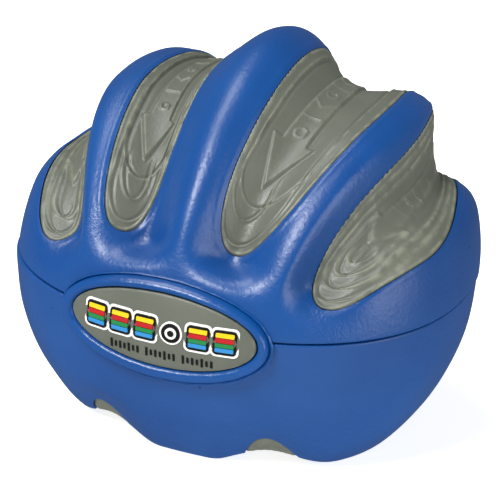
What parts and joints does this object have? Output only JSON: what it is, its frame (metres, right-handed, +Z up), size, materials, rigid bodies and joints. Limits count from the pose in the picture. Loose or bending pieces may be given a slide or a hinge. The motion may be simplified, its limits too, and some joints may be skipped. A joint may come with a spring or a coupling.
{
  "type": "stress ball",
  "caption": "Squeeze ball for hand and finger exercise: two moulded halves, ridged top with finger grooves, grey inlays, oval front label and a flat base.",
  "frame": {"origin": "on the standing plane, under the middle of the ball", "axes": "+X towards the end of the ball that the index finger holds, -Y out of the label, +Z up from the palm side to the finger side"},
  "size_m": [0.086, 0.0756, 0.0714],
  "materials": {
    "blue_skin": "satin self-skinned foam with a fine grain",
    "blue_rim": "satin moulded rim",
    "grey_inlay": "satin grey-green elastomer with raised lines",
    "grey_label": "printed grey film, matt",
    "core_foam": "open foam, dull"
  },
  "bodies": {
    "palm_half": {"palm_shell": "blue_skin", "foam_core": "core_foam", "palm_pad_left": "grey_inlay", "palm_pad_right": "grey_inlay"},
    "finger_half": {"finger_shell": "blue_skin", "label_bezel": "blue_rim", "label_plate": "grey_label"},
    "index_pad": {"finger_pad_index": "grey_inlay"},
    "middle_pad": {"finger_pad_middle": "grey_inlay"},
    "ring_pad": {"finger_pad_ring": "grey_inlay"},
    "little_pad": {"finger_pad_little": "grey_inlay"}
  },
  "joints": [
    {"name": "squeeze", "type": "slide", "parent": "palm_half", "child": "finger_half", "axis": [0, 0, -1], "range_m": [0, 0.01], "stiffness_N_per_m": 3000, "deforming": ["palm_shell", "foam_core"]},
    {"name": "press_index", "type": "slide", "parent": "finger_half", "child": "index_pad", "axis": [0, 0, -1], "range_m": [0, 0.0014], "stiffness_N_per_m": 2500, "deforming": ["foam_core"]},
    {"name": "press_middle", "type": "slide", "parent": "finger_half", "child": "middle_pad", "axis": [0, 0, -1], "range_m": [0, 0.0014], "stiffness_N_per_m": 2500, "deforming": ["foam_core"]},
    {"name": "press_ring", "type": "slide", "parent": "finger_half", "child": "ring_pad", "axis": [0, 0, -1], "range_m": [0, 0.0014], "stiffness_N_per_m": 2500, "deforming": ["foam_core"]},
    {"name": "press_little", "type": "slide", "parent": "finger_half", "child": "little_pad", "axis": [0, 0, -1], "range_m": [0, 0.0014], "stiffness_N_per_m": 2500, "deforming": ["foam_core"]}
  ]
}
